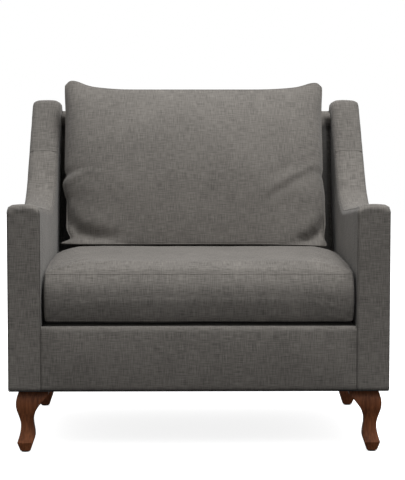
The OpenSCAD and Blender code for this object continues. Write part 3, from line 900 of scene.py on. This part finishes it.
def build_seat_cushion():
    lo, hi = SEAT_LO, SEAT_HI
    seam_top = hi.z - SEAM_DROP
    seam_low = lo.z + 0.007
    cx, cy = (lo.x + hi.x) / 2 - 0.0005, (lo.y + hi.y) / 2
    half_x, half_y = (hi.x - lo.x) / 2 + 0.0045, (hi.y - lo.y) / 2
    corner = 0.005
    signs = ((-1, -1), (1, -1), (1, 1), (-1, 1))
    base = filleted([(cx + a * half_x, cy + b * half_y, corner) for a, b in signs], 0.007)
    normals = outline_normals(base)
    front = np.clip(-normals[:, 1], 0, 1) ** 2
    sideways = np.abs(normals[:, 0]) ** 2

    def leaned(points, lean):
        points = points.copy()
        points[:, 1] += lean * (1 - smooth((points[:, 1] - cy + half_y) / LEAN_REACH))
        return points

    def ring(inset, z, lean):
        place = leaned(base - normals * np.broadcast_to(inset, len(base))[:, None], lean)
        return np.column_stack([place, np.full(len(base), z)])

    # The front border is fullest below its middle and tucks under at the bottom
    rings = [ring(0.012, lo.z, LEAN_LOW), ring(0.005, lo.z + 0.0010, LEAN_LOW)]
    for t in np.linspace(0, 1, 14):
        z = seam_low + (seam_top - seam_low) * t
        lean = LEAN_LOW * (1 - t) ** 2.6 + LEAN_TOP * max(2 * t - 1, 0) ** 2.2
        full = 0.0015 - 0.0015 * math.sin(math.pi * t) ** 0.7
        foot = 0.002 * math.exp(-((t / 0.05) ** 2))
        rings.append(ring(full + foot * (front + 0.5 * sideways), z, lean))
    rings += [ring(inset, seam_top + rise, lean) for inset, rise, lean in TOP_RINGS]
    verts, faces = loft(rings)
    obj = new_object("seat_cushion_upholstery", verts, faces)
    remesh(obj, 0.005, smoothing=1)

    co = points_of(obj)
    inside = edge_distance(co[:, :2], base)
    on_top = co[:, 2] > seam_top + 0.003
    across = np.clip(np.abs((co[:, 0] - cx) / half_x), 0, 1)
    along = np.clip((co[:, 1] - lo.y) / (2 * half_y), 0, 1)
    rise = (1 - across ** 7) * (1 - np.exp(-along / 0.085)) * (1 - along ** 6)
    co[:, 2] += np.where(on_top, (CUSHION_CROWN - TOP_RINGS[-1][1]) * rise, 0.0)
    height = np.clip((co[:, 2] - seam_low) / (seam_top - seam_low), 0, 1)
    co[:, 2] += height ** 2 * side_lift(across, along)
    set_points(obj, co)

    # The seams hold the sides and the rear in, and the bottom lies flat on the deck
    seam_z = seam_top + side_lift(across, along)
    rim = np.minimum(np.abs(co[:, 2] - seam_z), np.abs(co[:, 2] - seam_low)) < 0.004
    rim &= (inside < 0.02) & (along > 0.08)
    bottom = co[:, 2] < lo.z + 0.004
    inflate(obj, 4.0, cap=np.where(on_top, 0.006, 0.0015), pinned=rim | bottom)
    subdivide(obj)
    co = points_of(obj)
    push_out(obj, 0.0007 * ripple(co, 16.0, 51) + 0.0010 * ripple(co, 6.0, 52))
    co = points_of(obj)
    co[:, 2] = np.clip(co[:, 2], lo.z, seam_top + CUSHION_CROWN)
    co[:, 1] = np.minimum(co[:, 1], hi.y - 0.001)
    set_points(obj, co)
    nodes = ["seat_cushion_cover", "seat_cushion_core"]
    fit_out(obj, "seat_cushion", fabric, nodes)

    # Seam cords, half sunk in the surface
    sink = 0.0006
    surface = BVHTree.FromObject(obj, bpy.context.evaluated_depsgraph_get())
    cords = []
    for low, radius, lean in ((seam_top, 0.0012, LEAN_TOP), (seam_low - 0.001, 0.0014, LEAN_LOW)):
        path = []
        for (x, y), (nx, ny) in zip(leaned(base, lean), normals):
            side, back = abs((x - cx) / half_x), (y - lo.y) / (2 * half_y)
            z = low + (float(side_lift(side, back)) if low == seam_top else 0.0)
            outside = Vector((x + nx * 0.05, y + ny * 0.05, z))
            hit = surface.ray_cast(outside, Vector((-nx, -ny, 0)))[0]
            path.append((hit.x - nx * sink, hit.y - ny * sink, z))
        cords.append(tube("cord", path, radius, closed=True))
    seams = join("seat_cushion_seams", cords)
    fit_out(seams, "seat_cushion", fabric)


# ---------------------------------------------------------------- back pillow

PILLOW_LENGTH = 0.494
PILLOW_HALF_W = 0.389

# Folds of the front, as a path of (across, up) points, a height (below zero for a crease) and a width
PILLOW_FOLDS = (
    # Lower left corner, slumped
    ([(-0.388, 0.100), (-0.368, 0.064), (-0.338, 0.032), (-0.295, 0.016), (-0.22, 0.010)], -0.017, 0.020),
    # Pinch in the left side
    ([(-0.40, 0.165), (-0.366, 0.196), (-0.342, 0.209), (-0.318, 0.212), (-0.290, 0.200)], 0.0024, 0.010),
    ([(-0.37, 0.165), (-0.342, 0.187), (-0.318, 0.193), (-0.295, 0.185), (-0.27, 0.15)], -0.0015, 0.012),
    # Long diagonal fold from the right side, with a crease on either side of it
    ([(0.38, 0.245), (0.335, 0.218), (0.290, 0.190), (0.22, 0.145)], 0.0036, 0.012),
    ([(0.36, 0.215), (0.31, 0.185), (0.26, 0.150), (0.20, 0.105)], -0.0036, 0.014),
    ([(0.32, 0.245), (0.27, 0.215), (0.22, 0.18)], -0.0022, 0.014),
    # Lower right corner, slumped
    ([(0.400, 0.085), (0.375, 0.036), (0.348, 0.010), (0.30, -0.004)], -0.026, 0.018),
)


def pillow_frame():
    """Origin at the middle of the pillow's lower edge, and its up-slope and forward axes."""
    up = np.array(PILLOW_LIFT) / np.linalg.norm(PILLOW_LIFT)
    forward = np.array([0.0, -up[2], up[1]])
    zip_lo, zip_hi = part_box("pillow_zip_chain")
    middle_x = (PILLOW_LO.x + PILLOW_HI.x) / 2
    foot = np.array([middle_x, (zip_lo.y + zip_hi.y) / 2, (zip_lo.z + zip_hi.z) / 2])
    return foot + up * 0.003, up, forward


def bell(values, centre, width):
    return np.exp(-(((values - centre) / width) ** 2))


def fold(x, s, path, depth, width):
    """A soft fold along a path of (x, s) points, fading out at both ends."""
    path = resample(path, 0.006)
    nearest = np.full(x.shape, 1e9)
    along = np.zeros(x.shape)
    for k, (px, ps) in enumerate(path):
        d = np.hypot(x - px, s - ps)
        closer = d < nearest
        nearest = np.where(closer, d, nearest)
        along = np.where(closer, k / (len(path) - 1), along)
    fade = np.sin(np.clip(along, 0.02, 0.98) * math.pi) ** 0.6
    return depth * fade * np.exp(-((nearest / width) ** 2))


def pillow_left(s):
    """Half width at a height s up the left side: full at the top, pinched, full, then an ear."""
    edge = PILLOW_HALF_W + 0.004 * bell(s, 0.50, 0.06)
    edge += -0.006 * bell(s, 0.217, 0.010) + 0.005 * bell(s, 0.188, 0.016)
    edge -= 0.008 * smooth((0.165 - s) / 0.03) + 0.018 * smooth((0.055 - s) / 0.05)
    return edge + 0.033 * bell(s, 0.004, 0.0085)


def pillow_right(s):
    """Half width at a height s up the right side."""
    edge = PILLOW_HALF_W + 0.004 * bell(s, 0.50, 0.05)
    edge += -0.004 * bell(s, 0.215, 0.012) + 0.004 * smooth((0.20 - s) / 0.05)
    edge -= 0.006 * smooth((0.07 - s) / 0.06)
    return edge + 0.008 * bell(s, 0.0, 0.012)


def build_pillow():
    foot, up, forward = pillow_frame()
    nu, nv = 110, 76
    # Points crowd towards the edges, where the surface turns fastest
    even_u, even_v = np.linspace(-1, 1, nu), np.linspace(-1, 1, nv)
    us = np.sin(even_u * math.pi / 2) * 0.35 + even_u * 0.65
    vs = (np.sin(even_v * math.pi / 2) * 0.45 + even_v * 0.55 + 1) / 2
    u, v = np.meshgrid(us, vs)

    # Outline: the top corners stand up as ears, the sides pinch in below the middle
    top = PILLOW_LENGTH + 0.026 * bell(u, -0.955, 0.11) + 0.020 * bell(u, 0.955, 0.11)
    top += 0.007 * bell(u, -0.80, 0.16) + 0.005 * bell(u, 0.80, 0.16)
    top -= 0.009 * (smooth((np.abs(u) - 0.965) / 0.035))
    bottom = 0.006 - 0.001 * u * u - 0.009 * np.maximum(u, 0) ** 4
    s = bottom + (top - bottom) * v
    x = np.where(u < 0, u * pillow_left(s), u * pillow_right(s))

    # Thickness: full in the middle and thin at the seam, with the filling settled low
    side = 1 - np.abs(u) ** 4.0
    ends = 1 - np.abs(2 * v - 1) ** 2.3
    front = 0.092 * np.clip(side, 0, 1) ** 0.55 * np.clip(ends, 0, 1) ** 0.85
    rear = 0.078 * np.clip(side * (1 - np.abs(2 * v - 1) ** 3.0), 0, 1) ** 0.36

    # The lower edge rests on the seat in front of the mid-plane
    slump = np.clip(1 - v / 0.22, 0, 1) ** 2
    ahead = 0.040 * slump * (1 - 0.75 * np.abs(u) ** 8)
    s = s - 0.39 * ahead
    origin = foot + x[..., None] * [1, 0, 0] + s[..., None] * up + ahead[..., None] * forward
    for field in (front, rear):
        field[:, [0, -1]] = 0.0
        field[[0, -1], :] = 0.0
    faces, front_rim = two_layers(nu, nv)
    rear_rim = [nu * nv + r for r in front_rim]
    seam_half = 0.0015
    verts = np.concatenate([
        (origin + (front + seam_half)[..., None] * forward).reshape(-1, 3),
        (origin - (rear + seam_half)[..., None] * forward).reshape(-1, 3),
    ])
    obj = new_object("back_pillow_upholstery", verts, faces)
    pinned = np.zeros(len(verts), bool)
    pinned[front_rim + rear_rim] = True
    inflate(obj, 3.0, cap=0.022, pinned=pinned)
    swollen = points_of(obj)
    seam = (swollen[front_rim] + swollen[rear_rim]) / 2
    subdivide(obj)

    co = points_of(obj)
    rel = co - foot
    px, ps = rel[:, 0], rel @ up
    facing = np.clip(normals_of(obj) @ forward, 0, 1) ** 0.5
    shape = sum(fold(px, ps, *one) for one in PILLOW_FOLDS)
    shape += 0.0016 * ripple(co, 7.0, 61) + 0.0008 * ripple(co, 18.0, 62)
    co += (facing * shape)[:, None] * forward
    set_points(obj, co)
    nodes = ["back_pillow_cover", "back_pillow_insert"]
    fit_out(obj, "back_pillow", fabric_tilted, nodes)

    cord = tube("back_pillow_seam", resample(seam, 0.005, closed=True), 0.0022, closed=True)
    fit_out(cord, "back_pillow", fabric_tilted)


# ---------------------------------------------------------------- legs

# Leg outline as (distance in from the chair's outer face, height)
KNEE = (0.0183, 0.131)
ANKLE = (0.0305, 0.072)
TOE = (0.0208, 0.026)
SOLE_OUT, SOLE_IN = 0.0285, 0.056
HEEL = (0.0635, 0.026)
CALF = (0.0684, 0.047)
SHIN = (0.0645, 0.086)
BRACKET = (0.105, 0.155)
TOP_OUT = 0.027


def half_wave(a, b, z):
    """An S curve between two (distance, height) points, upright at both."""
    t = np.clip((z - a[1]) / (b[1] - a[1]), 0, 1)
    return a[0] + (b[0] - a[0]) * (1 - math.cos(math.pi * t)) / 2


def quarter_wave(a, b, z):
    """A curve between two (distance, height) points, upright at the first."""
    t = np.clip((z - a[1]) / (b[1] - a[1]), 0, 1)
    return a[0] + (b[0] - a[0]) * (1 - math.cos(math.pi / 2 * t))


def leg_outer(z, top, sole):
    if z > KNEE[1]:
        return quarter_wave(KNEE, (TOP_OUT, top), z)
    if z > ANKLE[1]:
        return half_wave(KNEE, ANKLE, z)
    if z > TOE[1]:
        return quarter_wave(ANKLE, TOE, z)
    return TOE[0] + (SOLE_OUT - TOE[0]) * (TOE[1] - z) / (TOE[1] - sole)


def leg_inner(z, top, sole):
    if z > BRACKET[1]:
        return BRACKET[0]
    if z > SHIN[1]:
        return quarter_wave(SHIN, BRACKET, z)
    if z > CALF[1]:
        return half_wave(CALF, SHIN, z)
    if z > HEEL[1]:
        return quarter_wave(CALF, HEEL, z)
    return HEEL[0] + (SOLE_IN - HEEL[0]) * (HEEL[1] - z) / (HEEL[1] - sole)


def build_leg(node, side, end):
    """A square cabriole leg with eased corners. side and end say which corner it stands at."""
    lo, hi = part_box(node)
    sole, top = lo.z, hi.z
    crisp = 0.0006
    heights = np.concatenate([
        [sole, sole + crisp], np.linspace(sole + 0.003, TOE[1] - 0.003, 5),
        [TOE[1] - crisp, TOE[1], TOE[1] + crisp], np.linspace(TOE[1] + 0.002, top, 64),
    ])
    outer_x = side * HALF_W
    outer_y = FRONT_Y if end < 0 else BASE_REAR_Y
    # Directions crowd at the four corners of the section
    corner = math.pi / 4 + np.array([-0.05, -0.025, 0, 0.025, 0.05])
    quarter = np.concatenate([np.linspace(-0.72, 0.72, 9), corner])
    grid = np.sort(np.concatenate([quarter + math.pi / 2 * k for k in range(4)]))
    rings = []
    for z in heights:
        a, b = leg_outer(z, top, sole), leg_inner(z, top, sole)
        half = (b - a) / 2
        ease = min(0.004, half * 0.3)
        c, d = np.abs(np.cos(grid)), np.abs(np.sin(grid))
        reach = half / np.maximum(c, d)
        # Where the straight side would pass into the eased corner, follow its arc instead
        k = half - ease
        centre_dot = k * (c + d)
        arc = centre_dot + np.sqrt(np.maximum(centre_dot ** 2 - 2 * k * k + ease * ease, 0))
        reach = np.where(np.minimum(c, d) * reach > k, arc, reach)
        px = a + half + reach * np.cos(grid)
        py = a + half + reach * np.sin(grid)
        rings.append(np.column_stack([outer_x - side * px, outer_y - end * py, np.full(len(px), z)]))
    verts, faces = loft(rings)
    if side * end < 0:
        faces = [f[::-1] for f in faces]
    obj = new_object(node + "_carved", verts, faces)
    fit_out(obj, "chair_frame", mahogany, [node])


def build_legs():
    for node, side, end in (
        ("front_left_leg", -1, -1), ("front_right_leg", 1, -1),
        ("rear_left_leg", -1, 1), ("rear_right_leg", 1, 1),
    ):
        build_leg(node, side, end)


make_stage()
paint_carried_nodes()
build_arms()
build_inside_back()
build_front_border()
build_deck()
build_outside_back()
build_dust_cover()
build_seat_cushion()
build_pillow()
build_legs()
